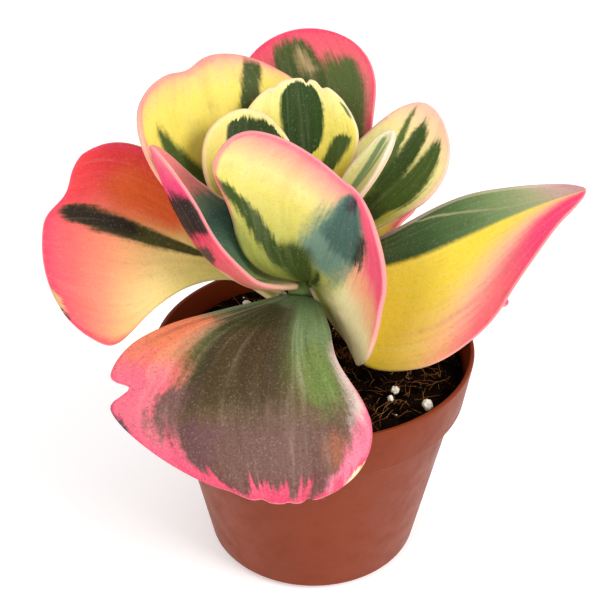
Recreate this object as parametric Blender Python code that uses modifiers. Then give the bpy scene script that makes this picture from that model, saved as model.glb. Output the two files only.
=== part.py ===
# A kalanchoe with broad variegated leaves in a plastic nursery pot, as separate solids.
# Sizes are in millimetres and angles in degrees; mesh_object turns them into Blender's metres.
# The origin is the centre of the pot's underside, with +Z up and +Y towards the back.

import math

import bmesh
import bpy
import numpy as np

MM = 0.001
GAP = 0.3                    # between two pieces that touch

# pot: a thin tapered wall with a collar round the top
POT_HEIGHT = 62.3
POT_RIM_RADIUS = 42.5
POT_COLLAR_HEIGHT = 13.5
POT_COLLAR_TAPER = 1.9       # how much narrower the collar is at its lower edge
POT_COLLAR_STEP = 2.0        # how far the collar stands out from the wall below it
POT_BASE_RADIUS = 29.2
POT_BASE_FILLET = 3.5
POT_WALL = 1.2
POT_TURNS = 48
DRAIN_HOLES = 6
DRAIN_HOLE_RADIUS = 3.2
DRAIN_RING_RADIUS = 17.0

# soil: fills the pot to a little below its rim
SOIL_DROP = 5.3
SOIL_EDGE_ROUNDING = 1.5
SOIL_CROWN = 0.8             # how much higher the middle is than the edge

# stem: short and upright, its foot set in the soil
STEM_X = -3.0
STEM_Y = 0.0
STEM_RADIUS = 5.0
STEM_TIP_RADIUS = 3.4
STEM_HEIGHT = 34.0
STEM_DEPTH = 14.0

LEAF_THICKNESS = 2.4
LEAF_FOOT_GAP = 0.7          # between a leaf's foot and the stem
LEAF_MARGIN_SHARE = 0.5      # thickness at the margin, as a share of the middle's
LEAF_ACROSS = 8
LEAF_ALONG = 10

PERLITE_GRAINS = [           # place on the soil and size across
    ("perlite_large", 28.0, -24.0, 3.1),
    ("perlite_middle", 20.5, -17.5, 2.2),
    ("perlite_small", 19.0, -20.5, 1.7),
    ("perlite_far", -19.0, 24.0, 2.4),
]
GRAIN_GRIT = 0.12            # how uneven a grain is
GRAIN_SEED = 5

SOIL_LEVEL = POT_HEIGHT - SOIL_DROP


def clear_scene():
    for item in list(bpy.data.objects):
        bpy.data.objects.remove(item, do_unlink=True)


def collection(name):
    group = bpy.data.collections.new(name)
    bpy.context.scene.collection.children.link(group)
    return group


def material(name, colour, roughness):
    finish = bpy.data.materials.new(name)
    finish.use_nodes = True
    shader = finish.node_tree.nodes["Principled BSDF"]
    shader.inputs["Base Color"].default_value = (*colour, 1.0)
    shader.inputs["Roughness"].default_value = roughness
    shader.inputs["Metallic"].default_value = 0.0
    return finish


def mesh_object(name, work, group, finish=None):
    """A bmesh in millimetres becomes an object in metres."""
    bmesh.ops.scale(work, vec=(MM, MM, MM), verts=work.verts)
    mesh = bpy.data.meshes.new(name)
    work.to_mesh(mesh)
    work.free()
    mesh.shade_smooth()
    item = bpy.data.objects.new(name, mesh)
    group.objects.link(item)
    if finish:
        mesh.materials.append(finish)
    return item


def turned(name, profile, group, finish, turns):
    """A solid of revolution about Z; its profile's two ends lie on the axis."""
    work = bmesh.new()
    row = [work.verts.new((radius, 0.0, height)) for radius, height in profile]
    for upper, lower in zip(row, row[1:]):
        work.edges.new((upper, lower))
    item = mesh_object(name, work, group, finish)
    screw = item.modifiers.new("turn", "SCREW")
    screw.steps = turns
    screw.render_steps = turns
    screw.use_merge_vertices = True
    screw.merge_threshold = 0.00001
    screw.use_smooth_shade = True
    return item


def cut(item, cutter):
    cutter.hide_render = True
    cutter.display_type = "WIRE"
    hole = item.modifiers.new("cut", "BOOLEAN")
    hole.operation = "DIFFERENCE"
    hole.object = cutter


def cylinder(name, radius, low, high, x, y, group):
    work = bmesh.new()
    bmesh.ops.create_cone(work, cap_ends=True, segments=24, radius1=radius, radius2=radius, depth=high - low)
    bmesh.ops.translate(work, vec=(x, y, (low + high) / 2), verts=work.verts)
    return mesh_object(name, work, group)


# ---- pot and soil ----

def wall_radius(height):
    """The outer radius of the pot's wall below its collar."""
    top = POT_RIM_RADIUS - POT_COLLAR_TAPER - POT_COLLAR_STEP
    share = height / (POT_HEIGHT - POT_COLLAR_HEIGHT)
    return POT_BASE_RADIUS + (top - POT_BASE_RADIUS) * share


def inner_radius(height):
    """The inner radius of the pot, which steps out behind the collar."""
    collar_foot = POT_HEIGHT - POT_COLLAR_HEIGHT
    if height < collar_foot:
        return wall_radius(height) - POT_WALL
    share = (POT_HEIGHT - height) / POT_COLLAR_HEIGHT
    return POT_RIM_RADIUS - POT_COLLAR_TAPER * share - POT_WALL


def make_pot(group, cutters):
    collar_foot = POT_HEIGHT - POT_COLLAR_HEIGHT
    ledge = POT_WALL
    lip = POT_WALL / 3
    inside = [
        (0.0, POT_WALL),
        (inner_radius(0.0) - POT_BASE_FILLET / 2, POT_WALL),
        (inner_radius(POT_BASE_FILLET), POT_BASE_FILLET),
        (inner_radius(collar_foot - 0.01), collar_foot),
        (inner_radius(collar_foot + ledge), collar_foot + ledge),
        (POT_RIM_RADIUS - POT_WALL, POT_HEIGHT - lip),
        (POT_RIM_RADIUS - POT_WALL + lip, POT_HEIGHT),
    ]
    outside = [
        (POT_RIM_RADIUS - lip, POT_HEIGHT),
        (POT_RIM_RADIUS, POT_HEIGHT - lip),
        (POT_RIM_RADIUS - POT_COLLAR_TAPER, collar_foot + lip),
        (POT_RIM_RADIUS - POT_COLLAR_TAPER - lip, collar_foot),
        (wall_radius(collar_foot), collar_foot),
    ]
    corner = wall_radius(POT_BASE_FILLET)
    for step in range(5):
        turn = math.radians(90 * step / 4)
        outside.append((
            corner - POT_BASE_FILLET * (1 - math.cos(turn)),
            POT_BASE_FILLET * (1 - math.sin(turn)),
        ))
    outside.append((0.0, 0.0))
    pot = turned("pot", inside + outside, group, material("terracotta_plastic", (0.42, 0.13, 0.055), 0.42), POT_TURNS)
    for count in range(DRAIN_HOLES):
        turn = 2 * math.pi * count / DRAIN_HOLES
        x = DRAIN_RING_RADIUS * math.cos(turn)
        y = DRAIN_RING_RADIUS * math.sin(turn)
        cut(pot, cylinder(f"drain_{count}", DRAIN_HOLE_RADIUS, -POT_WALL, 2 * POT_WALL, x, y, cutters))


def make_soil(group, cutters):
    collar_foot = POT_HEIGHT - POT_COLLAR_HEIGHT
    floor = POT_WALL + GAP
    edge = inner_radius(SOIL_LEVEL - SOIL_EDGE_ROUNDING) - GAP
    profile = [
        (0.0, SOIL_LEVEL + SOIL_CROWN),
        (edge / 2, SOIL_LEVEL + SOIL_CROWN / 2),
        (edge - SOIL_EDGE_ROUNDING, SOIL_LEVEL),
        (edge, SOIL_LEVEL - SOIL_EDGE_ROUNDING),
        (inner_radius(collar_foot + POT_WALL) - GAP, collar_foot + POT_WALL + GAP),
        (inner_radius(collar_foot - GAP) - GAP, collar_foot + GAP),
        (inner_radius(POT_BASE_FILLET) - GAP, POT_BASE_FILLET + GAP),
        (inner_radius(0.0) - POT_BASE_FILLET / 2 - GAP, floor),
        (0.0, floor),
    ]
    soil = turned("soil", profile, group, material("peat", (0.018, 0.011, 0.008), 0.95), POT_TURNS // 2)
    low = SOIL_LEVEL - STEM_DEPTH - GAP
    high = POT_HEIGHT + SOIL_DROP
    cut(soil, cylinder("stem_socket", STEM_RADIUS + GAP, low, high, STEM_X, STEM_Y, cutters))


def make_perlite(group):
    white = material("perlite", (0.80, 0.76, 0.68), 0.9)
    random = np.random.default_rng(GRAIN_SEED)
    for name, x, y, size in PERLITE_GRAINS:
        work = bmesh.new()
        bmesh.ops.create_icosphere(work, subdivisions=2, radius=size / 2)
        for point in work.verts:
            point.co *= 1.0 + GRAIN_GRIT * random.uniform(-1.0, 1.0)
        lowest = min(point.co.z for point in work.verts)
        crown = SOIL_CROWN * max(0.0, 1 - math.hypot(x, y) / inner_radius(SOIL_LEVEL))
        rest = SOIL_LEVEL + crown + GAP
        bmesh.ops.translate(work, vec=(x, y, rest - lowest), verts=work.verts)
        mesh_object(name, work, group, white)


# ---- stem ----

def stem_radius(height):
    """The stem's radius at a height above the soil."""
    share = min(max(height / STEM_HEIGHT, 0.0), 1.0)
    return STEM_RADIUS + (STEM_TIP_RADIUS - STEM_RADIUS) * share


def make_stem(group):
    profile = [
        (0.0, STEM_HEIGHT),
        (STEM_TIP_RADIUS * 0.7, STEM_HEIGHT - 0.4),
        (STEM_TIP_RADIUS, STEM_HEIGHT - STEM_TIP_RADIUS / 2),
        (stem_radius(STEM_HEIGHT / 2), STEM_HEIGHT / 2),
        (STEM_RADIUS, 0.0),
        (STEM_RADIUS, -STEM_DEPTH),
        (0.0, -STEM_DEPTH),
    ]
    stem = turned("stem", profile, group, material("stem_bark", (0.16, 0.18, 0.07), 0.7), 20)
    stem.location = (STEM_X * MM, STEM_Y * MM, SOIL_LEVEL * MM)


# ---- leaves ----
# A leaf is a sheet laid out from its rib, which runs from its foot on the stem to its tip. Rows of
# points cross the rib, left and right as seen looking outwards from the stem, and bend along an arc.

ARC_POINTS, ARC_WEIGHTS = np.polynomial.legendre.leggauss(8)
ARC_POINTS = (ARC_POINTS + 1) / 2
ARC_WEIGHTS = ARC_WEIGHTS / 2


def ease(values, place):
    """A smooth curve through evenly spaced values, read at places from 0 to 1."""
    values = np.asarray(values, float)
    last = len(values) - 1
    spot = np.clip(place, 0.0, 1.0) * last
    index = np.minimum(spot.astype(int), last - 1)
    share = (spot - index).reshape(spot.shape + (1,) * (values.ndim - 1))
    padded = np.concatenate([2 * values[:1] - values[1:2], values, 2 * values[-1:] - values[-2:-1]])
    a, b, c, d = (padded[index + step] for step in range(4))
    cubic = 3 * b - a - 3 * c + d
    square = 2 * a - 5 * b + 4 * c - d
    return 0.5 * (2 * b + (c - a) * share + square * share ** 2 + cubic * share ** 3)


def unit(vectors):
    return vectors / np.linalg.norm(vectors, axis=-1, keepdims=True)


def rib_frame(points, place):
    """Points and directions along the rib, at shares of its length."""
    fine = ease(points, np.linspace(0.0, 1.0, 300))
    steps = np.linalg.norm(np.diff(fine, axis=0), axis=1)
    run = np.concatenate([[0.0], np.cumsum(steps)])
    ahead = np.gradient(fine, run, axis=0)
    where = np.clip(place, 0.0, 1.0) * run[-1]
    spots = np.stack([np.interp(where, run, fine[:, axis]) for axis in range(3)], -1)
    ways = np.stack([np.interp(where, run, ahead[:, axis]) for axis in range(3)], -1)
    return spots, unit(ways)


def leaf_foot(azimuth, height, next_point):
    """Where a leaf leaves the stem, clear of it by the gap."""
    out = np.array([math.cos(math.radians(azimuth)), math.sin(math.radians(azimuth)), 0.0])
    radius = stem_radius(height) + LEAF_FOOT_GAP
    start = out * radius + np.array([0.0, 0.0, height])
    rise = unit(np.array(next_point, float) - start)[2]
    return start + out * LEAF_THICKNESS / 2 * abs(rise)


def leaf_sheet(shape, across, along):
    """Places on a leaf: across runs from -1 at the left margin to 1, along from 0 at the foot to 1."""
    azimuth, height = shape["foot"]
    points = np.array([leaf_foot(azimuth, height, shape["rib"][0])] + [np.array(p, float) for p in shape["rib"]])
    shoulder = shape["shoulder"]
    beyond = np.clip((along - shoulder) / (1 - shoulder), 0.0, 1.0)
    place = np.where(along <= shoulder, along, shoulder + (1 - shoulder) * beyond * np.sqrt(1 - across ** 2 / 2))
    reach = np.where(along <= shoulder, across, across * np.sqrt(1 - beyond ** 2 / 2))
    on_left = reach < 0

    def sided(key):
        left, right = shape[key]
        return np.where(on_left, ease(left, place), ease(right, place))

    share = np.abs(reach)
    bend = np.radians(sided("bend"))[..., None] * (share[..., None] * ARC_POINTS) ** shape.get("crease", 1.0)
    width = sided("width") * share
    level = width * (np.cos(bend) * ARC_WEIGHTS).sum(-1)
    lift = width * (np.sin(bend) * ARC_WEIGHTS).sum(-1)

    spots, ways = rib_frame(points, place)
    start, end = shape["faces"]
    blend = np.clip(place / 0.3, 0.0, 1.0)
    facing = np.radians(start + (end - start) * blend * blend * (3 - 2 * blend))
    side = np.stack([-np.sin(facing), np.cos(facing), np.zeros_like(facing)], -1)
    side = unit(side - (side * ways).sum(-1, keepdims=True) * ways)
    above = np.cross(ways, side)
    turn = np.radians(ease(shape["twist"], place))[..., None]
    left_way = side * np.cos(turn) - above * np.sin(turn)
    above = above * np.cos(turn) + side * np.sin(turn)
    sweep = np.radians(sided("sweep"))[..., None] if "sweep" in shape else 0.0
    hand = np.where(on_left, 1.0, -1.0)[..., None]
    outward = left_way * hand * np.cos(sweep) + ways * np.sin(sweep)
    return spots + outward * level[..., None] + above * lift[..., None]


def make_leaf(name, shape, group):
    work = bmesh.new()
    bmesh.ops.create_grid(work, x_segments=LEAF_ACROSS, y_segments=LEAF_ALONG, size=1.0)
    work.verts.ensure_lookup_table()
    across = np.array([point.co.x for point in work.verts])
    along = np.array([(point.co.y + 1) / 2 for point in work.verts])
    places = leaf_sheet(shape, across, along) + np.array([STEM_X, STEM_Y, SOIL_LEVEL])
    for point, place in zip(work.verts, places):
        point.co = place
    leaf = mesh_object(name, work, group, material(name, shape["colour"], 0.45))
    body = leaf.vertex_groups.new(name="thick")
    for index, share in enumerate(np.maximum(np.abs(across), along ** 3)):
        body.add([index], float(1 - share ** 2), "REPLACE")
    wall = leaf.modifiers.new("thickness", "SOLIDIFY")
    wall.thickness = LEAF_THICKNESS * MM
    wall.offset = 0.0
    wall.vertex_group = "thick"
    wall.thickness_vertex_group = LEAF_MARGIN_SHARE


# Ribs are in millimetres from the stem's axis at soil level. Width, bend and sweep hold the left
# half's values and then the right half's, evenly spaced from foot to tip. A foot is an azimuth
# and a height on the stem.

OVER_RIM = POT_RIM_RADIUS + STEM_Y

LEAVES = {
    "leaf_left": dict(
        foot=(182, 21), faces=(182, 180), rib=[(-24, -1, 30), (-43, -4, 38), (-63, -8, 43)],
        twist=(0, 45, 52, 52), width=((3, 4, 12, 27, 30, 32), (3, 7, 12, 21, 26, 28)),
        bend=((0, 5, 10), (0, 15, 25)), shoulder=0.6, colour=(0.75, 0.28, 0.16)),
    "leaf_left_folded": dict(
        foot=(235, 25), faces=(235, 180), rib=[(-14, -12, 31), (-24, -16, 42), (-31, -16, 54), (-37, -12, 66)],
        twist=(0, 10, 0, 0), width=((3, 8, 11, 12, 12, 10), (3, 9, 12, 10, 7, 5)),
        bend=((0, 50, 50, 40), (0, 65, 75, 70)), crease=0.4, shoulder=0.7, colour=(0.70, 0.14, 0.20)),
    "leaf_upper_left": dict(
        foot=(150, 27), faces=(150, 120), rib=[(-12, 11, 46), (-19, 16, 61), (-23, 22, 76)],
        twist=(0, 0, -5), width=((3, 9, 23, 31, 35, 35), (3, 5, 13, 23, 26, 26)),
        bend=((20, 50, 45), (20, 50, 40)), shoulder=0.45, colour=(0.80, 0.66, 0.20)),
    "leaf_back_tall": dict(
        foot=(90, 25), faces=(90, 90), rib=[(3, 20, 45), (1, 30, 62), (-1, 36, 76)],
        twist=(0, 0, 0), width=((3, 5, 14, 18, 21, 22), (3, 5, 13, 17, 19, 19)),
        bend=((20, 20, 20), (20, 30, 20)), shoulder=0.6, colour=(0.22, 0.16, 0.07)),
    "leaf_centre_back": dict(
        foot=(95, 32), faces=(95, 90), rib=[(0, 8, 49), (-1, 13, 61), (-2, 16.5, 72)],
        twist=(0, 0, 0), width=((3, 5, 12, 15, 17, 17), (3, 4, 11, 15, 16, 16)),
        bend=((20, 20, 20), (20, 20, 20)), shoulder=0.5, colour=(0.72, 0.68, 0.24)),
    "leaf_inner_left": dict(
        foot=(180, 32.5), faces=(175, 102), rib=[(-10, 0, 45), (-14, 2.5, 57), (-14, 6.5, 68)],
        twist=(0, 0, 0), width=((3, 5, 9, 12, 13, 12), (3, 5, 9, 13, 14, 14)),
        bend=((30, 40, 40), (30, 40, 40)), shoulder=0.5, colour=(0.72, 0.68, 0.26)),
    "leaf_front_flared": dict(
        foot=(286, 27.5), faces=(106, 90), rib=[(2, -8, 36), (5, -10, 46), (10, -12, 57)],
        twist=(0, 0, 0), width=((3, 11, 22, 33, 39, 41), (3, 28, 31, 27, 21, 14, 10)),
        bend=((0, 20, 20), (50, 85, 60)), sweep=((0, 15, 25), (-80, -62, -45, -28, -10, 0, 0)),
        shoulder=0.5, colour=(0.78, 0.62, 0.26)),
    "leaf_inner_right": dict(
        foot=(33, 32.5), faces=(33, 20), rib=[(10, 1, 44), (17, 3, 54), (22, 5, 63)],
        twist=(0, -20, -20), width=((2, 3, 4, 5, 5, 5), (2, 4, 5, 5, 5, 5)),
        bend=((50, 50, 50), (50, 50, 50)), crease=0.5, shoulder=0.5, colour=(0.70, 0.68, 0.34)),
    "leaf_right_upper": dict(
        foot=(18, 27.5), faces=(18, 30), rib=[(15, 9, 43), (24, 14, 53), (32, 19, 64)],
        twist=(0, -30, -30, -30), width=((3, 6, 9, 10, 10, 10), (3, 6, 11, 14, 14, 12)),
        bend=((20, 20, 20), (20, 20, 20)), shoulder=0.55, colour=(0.66, 0.62, 0.24)),
    "leaf_right_pointed": dict(
        foot=(355, 24), faces=(355, 360), rib=[(22, -2, 34), (44, -2, 43), (68, -5, 52)],
        twist=(0, -75, -60, -50, -40), width=((3, 4, 6, 7, 5, 3), (3, 5, 14, 27, 31, 30, 27, 22, 15, 9, 5)),
        bend=((0, 40, 50, 50), (0, 20, 20, 20)), sweep=((0, 0), (-20, -48, -10, 0, 0)),
        crease=0.5, shoulder=0.75, colour=(0.78, 0.42, 0.12)),
    "leaf_front_drooping": dict(
        foot=(265, 19), faces=(265, 265),
        rib=[(-3, -24, 22), (-4, 1.5 - OVER_RIM, SOIL_DROP + 8.7), (-4, -12.5 - OVER_RIM, SOIL_DROP - 8.3)],
        twist=(0, 0, 0), width=((5, 9, 12, 19, 23, 26), (5, 20, 38, 42, 37, 28)),
        bend=((-20, -30, -30), (0, 0, 0)), shoulder=0.6, colour=(0.22, 0.12, 0.07)),
    "leaf_behind_right": dict(
        foot=(20, 14), faces=(20, 15), rib=[(20, 5, 20), (38, 10, 19), (56, 12, 10)],
        twist=(0, 0, 0), width=((3, 8, 14, 18, 18, 16), (3, 7, 10, 10, 10, 10)),
        bend=((0, 0, 0), (0, 0, 0)), shoulder=0.6, colour=(0.62, 0.12, 0.20)),
    "leaf_behind_left": dict(
        foot=(165, 17), faces=(165, 160), rib=[(-20, 7, 25), (-38, 9, 29), (-52, 10, 32)],
        twist=(0, 0, 0), width=((3, 4, 8, 12, 12, 12), (3, 4, 10, 16, 18, 16)),
        bend=((0, 0, 0), (0, 0, 0)), shoulder=0.6, colour=(0.62, 0.50, 0.20)),
    "leaf_behind_back": dict(
        foot=(70, 19), faces=(70, 50), rib=[(11, 14, 26), (20, 22, 31), (31, 28, 34)],
        twist=(0, 0, 0), width=((3, 7, 14, 18, 18, 16), (3, 5, 7, 9, 8, 8)),
        bend=((0, 0, 0), (0, 0, 0)), shoulder=0.6, colour=(0.55, 0.30, 0.16)),
    "dried_scale": dict(
        foot=(300, 8), faces=(300, 300), rib=[(4, -6.5, 10), (5, -7.5, 13), (4.5, -7, 16)],
        twist=(0, 0, 0), width=((1.5, 2, 2, 1.5), (1.5, 2, 2, 1.5)),
        bend=((30, 30), (30, 30)), shoulder=0.5, colour=(0.22, 0.10, 0.04)),
}


def main():
    clear_scene()
    plant = collection("potted_kalanchoe")
    cutters = collection("cutters")
    make_pot(plant, cutters)
    make_soil(plant, cutters)
    make_perlite(plant)
    make_stem(plant)
    for name, shape in LEAVES.items():
        make_leaf(name, shape, plant)


main()
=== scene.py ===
import math
import bmesh
import bpy
import numpy as np
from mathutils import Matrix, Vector, noise


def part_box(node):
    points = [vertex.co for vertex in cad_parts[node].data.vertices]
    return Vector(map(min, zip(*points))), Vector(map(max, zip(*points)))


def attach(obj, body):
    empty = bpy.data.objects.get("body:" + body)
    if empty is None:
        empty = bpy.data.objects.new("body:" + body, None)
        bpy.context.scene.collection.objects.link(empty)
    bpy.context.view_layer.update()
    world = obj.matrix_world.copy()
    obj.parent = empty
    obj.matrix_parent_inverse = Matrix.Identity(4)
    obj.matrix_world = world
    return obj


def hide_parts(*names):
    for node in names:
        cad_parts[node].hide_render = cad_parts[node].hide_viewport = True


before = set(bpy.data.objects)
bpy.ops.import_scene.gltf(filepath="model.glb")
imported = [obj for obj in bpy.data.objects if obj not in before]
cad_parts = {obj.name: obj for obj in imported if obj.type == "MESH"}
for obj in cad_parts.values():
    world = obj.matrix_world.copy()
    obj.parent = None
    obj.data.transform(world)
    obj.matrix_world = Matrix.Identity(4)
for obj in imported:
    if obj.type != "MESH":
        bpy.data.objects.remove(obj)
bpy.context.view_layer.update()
mm = 0.001

potLow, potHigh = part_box("pot")
stemLow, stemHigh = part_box("stem")
stemX = (stemLow.x + stemHigh.x) / 2 / mm
stemY = (stemLow.y + stemHigh.y) / 2 / mm
stemSpec = {"foot": 5.0, "tip": 3.4, "height": 34.0}  # the stem's radii and its height above the soil
soilLevel = stemHigh.z / mm - stemSpec["height"]


# wires: sockets that work in Python expressions

class Wire:
    def __init__(self, tree, socket=None):
        self.tree = tree
        self.socket = socket

    def node(self, kind, settings=None, sockets=None, out=0):
        item = self.tree.nodes.new(kind)
        for name, value in (settings or {}).items():
            if name == "stops":
                ramp = item.color_ramp
                while len(ramp.elements) < len(value):
                    ramp.elements.new(0.5)
                for stop, (place, colour) in zip(ramp.elements, value):
                    stop.position = place
                    stop.color = (*colour, 1.0)
            else:
                setattr(item, name, value)
        for name, value in (sockets or {}).items():
            if isinstance(value, Wire):
                self.tree.links.new(value.socket, item.inputs[name])
            else:
                item.inputs[name].default_value = value
        return Wire(self.tree, item.outputs[out])

    def math(self, operation, *others, first=None):
        values = (self if first is None else first,) + others
        return self.node("ShaderNodeMath", {"operation": operation}, dict(enumerate(values)))

    def __add__(self, other):
        return self.math("ADD", other)

    def __radd__(self, other):
        return self.math("ADD", other)

    def __sub__(self, other):
        return self.math("SUBTRACT", other)

    def __rsub__(self, other):
        return self.math("SUBTRACT", self, first=other)

    def __mul__(self, other):
        return self.math("MULTIPLY", other)

    def __rmul__(self, other):
        return self.math("MULTIPLY", other)

    def __truediv__(self, other):
        return self.math("DIVIDE", other)

    def __pow__(self, other):
        return self.math("POWER", other)

    def __abs__(self):
        return self.math("ABSOLUTE")

    def smooth(self, low, high, start=0.0, end=1.0):  # an eased step from low to high
        return self.node("ShaderNodeMapRange", {"interpolation_type": "SMOOTHSTEP"}, {
            "Value": self, "From Min": low, "From Max": high, "To Min": start, "To Max": end})

    def blend(self, under, over):  # this wire is the mask
        return self.node("ShaderNodeMix", {"data_type": "RGBA"}, {0: self, 6: under, 7: over}, 2)

    def point(self, x, y, z):
        return self.node("ShaderNodeCombineXYZ", {}, {"X": x, "Y": y, "Z": z})

    def here(self):  # the place on the piece, in its own metres
        return self.node("ShaderNodeTexCoord", {}, {}, 3)

    def part(self, axis):  # one of a vector's three values
        return self.node("ShaderNodeSeparateXYZ", {}, {"Vector": self}, axis)

    def grain(self, where, scale, detail=2.0, roughness=0.5):
        sockets = {"Vector": where, "Scale": scale, "Detail": detail, "Roughness": roughness}
        return self.node("ShaderNodeTexNoise", {}, sockets)


def tone(red, green, blue):  # screen values from 0 to 255, as a shader's linear colour
    parts = [value / 255 for value in (red, green, blue)]
    linear = [part / 12.92 if part < 0.04045 else ((part + 0.055) / 1.055) ** 2.4 for part in parts]
    return tuple(linear) + (1.0,)


def newMaterial(name, roughness, **constants):
    finish = bpy.data.materials.new(name)
    finish.use_nodes = True
    shader = finish.node_tree.nodes["Principled BSDF"]
    shader.inputs["Roughness"].default_value = roughness
    for socket, value in constants.items():
        shader.inputs[socket.replace("_", " ")].default_value = value
    return finish, shader, Wire(finish.node_tree)


def feed(shader, socket, wire):
    wire.tree.links.new(wire.socket, shader.inputs[socket])


def bump(wire, height, distance, strength=1.0):
    return wire.node("ShaderNodeBump", {}, {"Height": height, "Distance": distance, "Strength": strength})


# camera, floor and light

viewSpec = {"place": (-3.7, -243.7, 224.7), "down": 31.6, "lens": 66.0, "clip": 0.01}

cameraData = bpy.data.cameras.new("camera")
cameraData.lens = viewSpec["lens"]
cameraData.clip_start = viewSpec["clip"]
camera = bpy.data.objects.new("camera", cameraData)
camera.location = [value * mm for value in viewSpec["place"]]
camera.rotation_euler = (math.radians(90 - viewSpec["down"]), 0.0, 0.0)
bpy.context.scene.collection.objects.link(camera)
bpy.context.scene.camera = camera
bpy.context.scene.view_settings.view_transform = "Standard"

floorSpec = {"half": 3.0, "shade": 0.92, "glow": 0.24, "gap": 0.0001, "roughness": 0.9}
worldStrength = 0.74
floorMesh = bpy.data.meshes.new("floor")
half = floorSpec["half"]
corners = [(-half, -half, 0), (half, -half, 0), (half, half, 0), (-half, half, 0)]
floorMesh.from_pydata(corners, [], [(0, 1, 2, 3)])
floor = bpy.data.objects.new("floor", floorMesh)
floor.location.z = potLow.z - floorSpec["gap"]
bpy.context.scene.collection.objects.link(floor)
floorFinish, floorShader = newMaterial("studio_floor", floorSpec["roughness"])[:2]
floorShader.inputs["Base Color"].default_value = (floorSpec["shade"],) * 3 + (1.0,)
floorShader.inputs["Emission Color"].default_value = (1.0, 1.0, 1.0, 1.0)
floorShader.inputs["Emission Strength"].default_value = floorSpec["glow"]
floorMesh.materials.append(floorFinish)

world = bpy.data.worlds.new("studio")
world.use_nodes = True
world.node_tree.nodes["Background"].inputs["Color"].default_value = (1.0, 1.0, 1.0, 1.0)
world.node_tree.nodes["Background"].inputs["Strength"].default_value = worldStrength
bpy.context.scene.world = world

lightSpec = {
    "key": {"place": (0.70, -0.45, 0.62), "size": 0.5, "power": 7.5},
    "fill": {"place": (-0.75, -0.60, 0.45), "size": 0.7, "power": 4.5},
}
lightAim = Vector((0, 0, 0.07))
for name, spec in lightSpec.items():
    lamp = bpy.data.lights.new(name, "AREA")
    lamp.size = spec["size"]
    lamp.energy = spec["power"]
    lampObject = bpy.data.objects.new(name, lamp)
    lampObject.location = spec["place"]
    lampObject.rotation_euler = (lightAim - lampObject.location).to_track_quat("-Z", "Y").to_euler()
    bpy.context.scene.collection.objects.link(lampObject)
print("stage set")


# meshes

def pieceFrom(name, points, faces, finishes, slotName, *nodes):
    mesh = bpy.data.meshes.new(name)
    mesh.from_pydata([tuple(point) for point in points], [], faces)
    mesh.validate()
    for finish in finishes:
        mesh.materials.append(finish)
    mesh.shade_smooth()
    piece = bpy.data.objects.new(name, mesh)
    bpy.context.scene.collection.objects.link(piece)
    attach(piece, "root")
    if nodes:
        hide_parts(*nodes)
    return piece


# leaves. A leaf is laid out from its rib, which runs from its foot on the stem to its tip. "across" runs
# from -1 at the left margin to 1 at the right, and "along" from 0 at the foot to 1 at the tip.

arcPoints, arcWeights = np.polynomial.legendre.leggauss(8)
arcPoints = (arcPoints + 1) / 2
arcWeights = arcWeights / 2

# heart is how far along the point lies that notches are cut towards, and turnBy where a leaf has turned to
# face its final way.
leafMake = {
    "thickness": 2.4, "marginShare": 0.55, "footGap": 0.7,
    "rows": 56, "columns": 44, "nearMargin": (0.0, 0.004, 0.014, 0.032, 0.06, 0.10),
    "ribSteps": 300, "heart": 0.4, "turnBy": 0.3, "leastWidth": 0.5,
}


def ease(values, place):  # a smooth curve through evenly spaced values
    values = np.asarray(values, float)
    last = len(values) - 1
    spot = np.clip(place, 0.0, 1.0) * last
    index = np.minimum(spot.astype(int), last - 1)
    share = (spot - index).reshape(spot.shape + (1,) * (values.ndim - 1))
    padded = np.concatenate([2 * values[:1] - values[1:2], values, 2 * values[-1:] - values[-2:-1]])
    a, b, c, d = (padded[index + step] for step in range(4))
    cubic = 3 * b - a - 3 * c + d
    square = 2 * a - 5 * b + 4 * c - d
    return 0.5 * (2 * b + (c - a) * share + square * share ** 2 + cubic * share ** 3)


def unit(vectors):
    return vectors / np.linalg.norm(vectors, axis=-1, keepdims=True)


def ribFrame(points, place):
    fine = ease(points, np.linspace(0.0, 1.0, leafMake["ribSteps"]))
    steps = np.linalg.norm(np.diff(fine, axis=0), axis=1)
    run = np.concatenate([[0.0], np.cumsum(steps)])
    ahead = np.gradient(fine, run, axis=0)
    where = np.clip(place, 0.0, 1.0) * run[-1]
    spots = np.stack([np.interp(where, run, fine[:, axis]) for axis in range(3)], -1)
    ways = np.stack([np.interp(where, run, ahead[:, axis]) for axis in range(3)], -1)
    return spots, unit(ways), run[-1]


def stemRadius(height):
    share = min(max(height / stemSpec["height"], 0.0), 1.0)
    return stemSpec["foot"] + (stemSpec["tip"] - stemSpec["foot"]) * share


def leafFoot(azimuth, height, nextPoint):
    out = np.array([math.cos(math.radians(azimuth)), math.sin(math.radians(azimuth)), 0.0])
    start = out * (stemRadius(height) + leafMake["footGap"]) + np.array([0.0, 0.0, height])
    rise = unit(np.array(nextPoint, float) - start)[2]
    return start + out * leafMake["thickness"] / 2 * abs(rise)


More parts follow.
